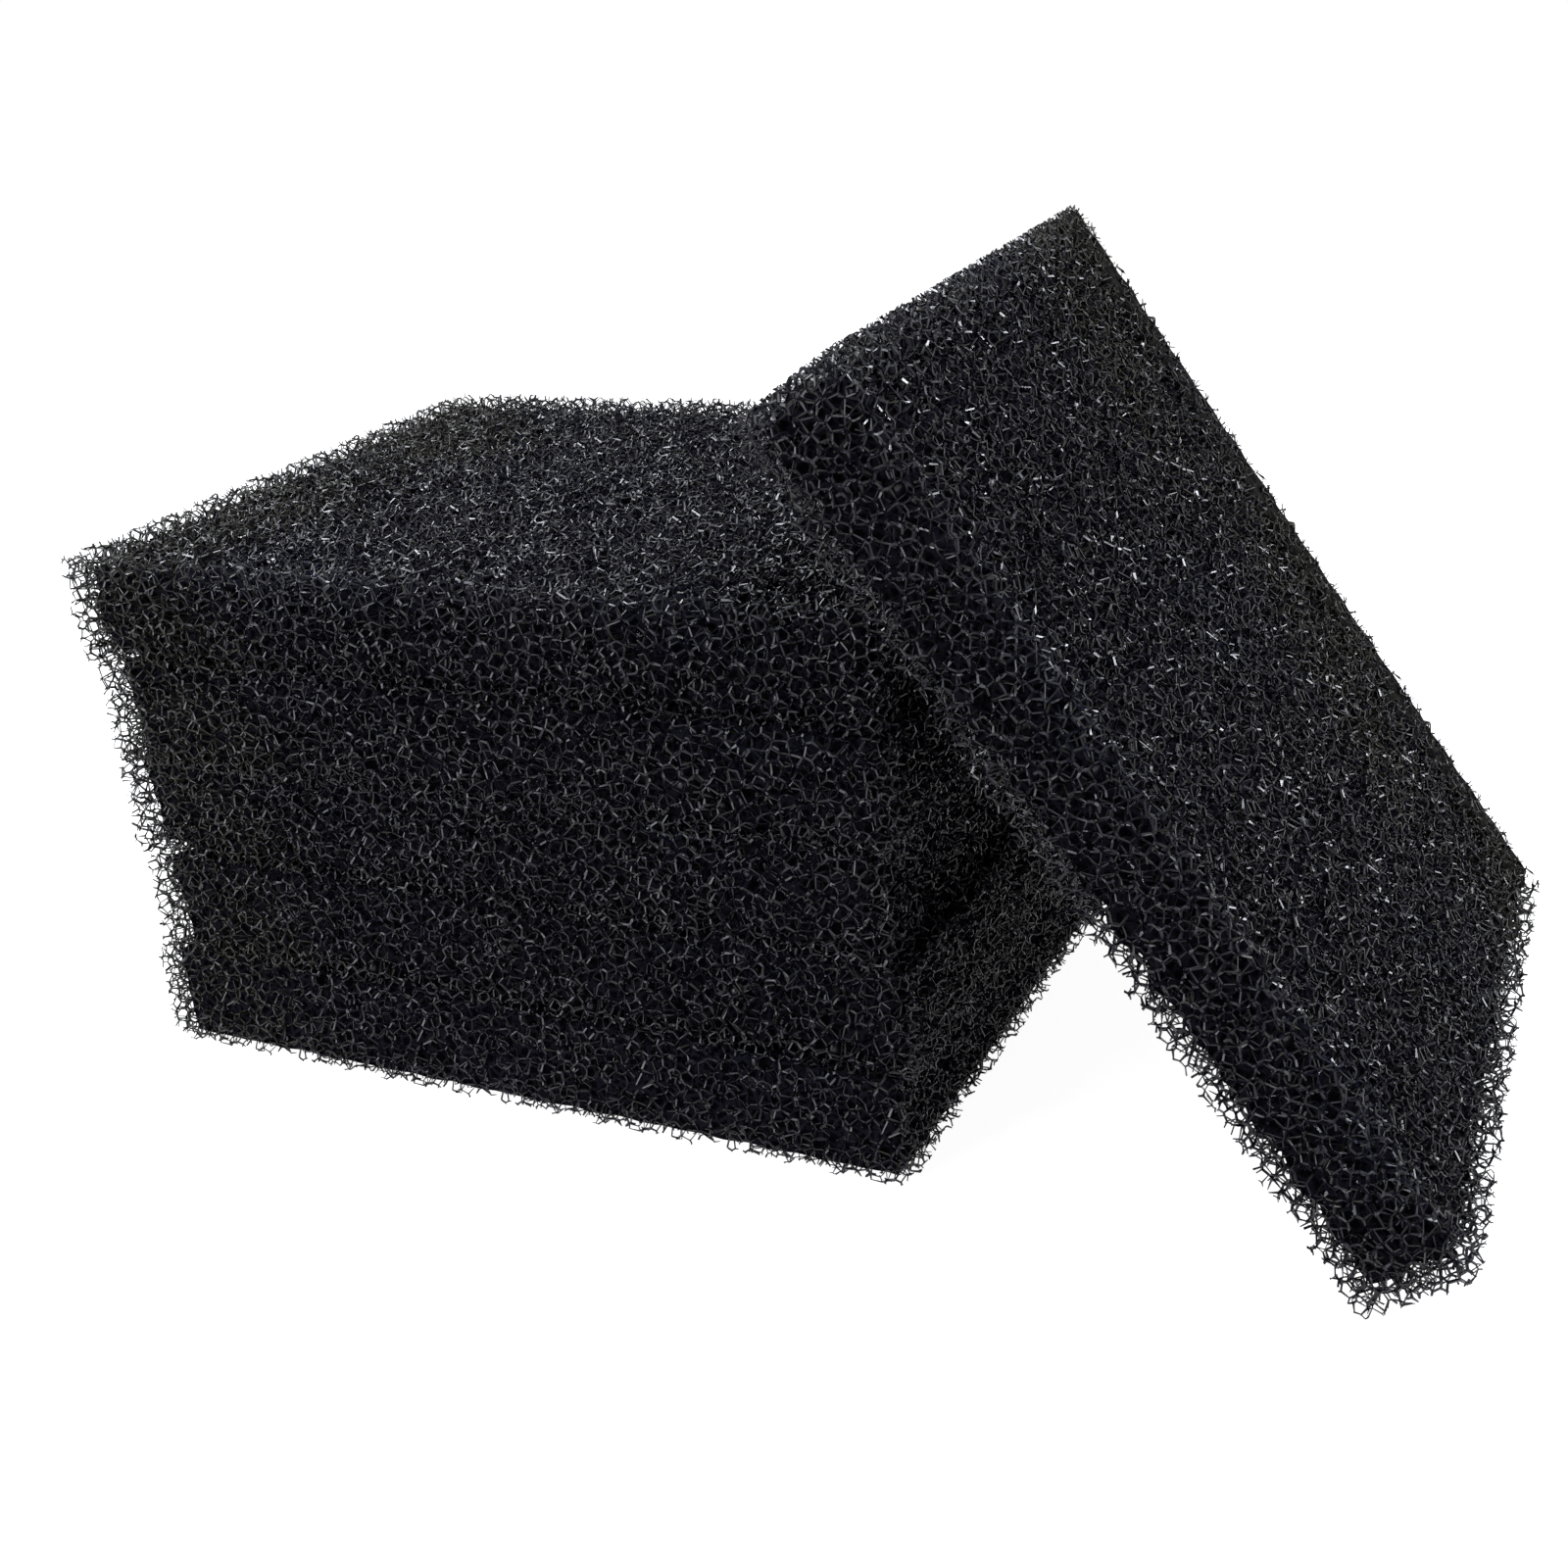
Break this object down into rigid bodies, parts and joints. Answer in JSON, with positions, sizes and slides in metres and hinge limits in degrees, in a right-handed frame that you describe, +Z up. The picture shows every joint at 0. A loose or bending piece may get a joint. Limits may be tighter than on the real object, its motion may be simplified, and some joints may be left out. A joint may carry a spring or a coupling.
{
  "type": "foam filter pad set",
  "caption": "Open-cell foam filter pads for aquarium and pond filters: loose oblong pads in a stack, with one leaning against it.",
  "frame": {"origin": "centre of the bottom pad's underside, on the floor", "axes": "+Z up, +X along the stacked pads' long side towards the leaning pad, +Y to the stack's back"},
  "size_m": [0.2548, 0.1464, 0.1436],
  "materials": {
    "foam_filter_pad_1": "open-cell polyurethane foam, dull with glints on the cell struts",
    "foam_filter_pad_2": "open-cell polyurethane foam, dull with glints on the cell struts",
    "foam_filter_pad_3": "open-cell polyurethane foam, dull with glints on the cell struts",
    "foam_filter_pad_4": "open-cell polyurethane foam, dull with glints on the cell struts",
    "foam_filter_pad_5": "open-cell polyurethane foam, dull with glints on the cell struts",
    "foam_leaning_pad": "open-cell polyurethane foam, dull with glints on the cell struts"
  },
  "bodies": {
    "filter_pad_1": {"filter_pad_1": "foam_filter_pad_1"},
    "filter_pad_2": {"filter_pad_2": "foam_filter_pad_2"},
    "filter_pad_3": {"filter_pad_3": "foam_filter_pad_3"},
    "filter_pad_4": {"filter_pad_4": "foam_filter_pad_4"},
    "filter_pad_5": {"filter_pad_5": "foam_filter_pad_5"},
    "leaning_pad": {"leaning_pad": "foam_leaning_pad"}
  },
  "joints": [
    {"name": "filter_pad_2_lift", "type": "slide", "parent": "filter_pad_1", "child": "filter_pad_2", "axis": [-0.5611, -0.0363, 0.8269], "range_m": [0, 0.06]},
    {"name": "filter_pad_3_lift", "type": "slide", "parent": "filter_pad_2", "child": "filter_pad_3", "axis": [-0.5611, -0.0363, 0.8269], "range_m": [0, 0.06]},
    {"name": "filter_pad_4_lift", "type": "slide", "parent": "filter_pad_3", "child": "filter_pad_4", "axis": [-0.5611, -0.0363, 0.8269], "range_m": [0, 0.06]},
    {"name": "filter_pad_5_lift", "type": "slide", "parent": "filter_pad_4", "child": "filter_pad_5", "axis": [-0.5611, -0.0363, 0.8269], "range_m": [0, 0.06]},
    {"name": "leaning_pad_tip", "type": "hinge", "parent": "filter_pad_1", "child": "leaning_pad", "pos_m": [0.156, -0.074, 0], "axis": [-0.0645, 0.9979, 0], "range_deg": [0, 34]}
  ]
}
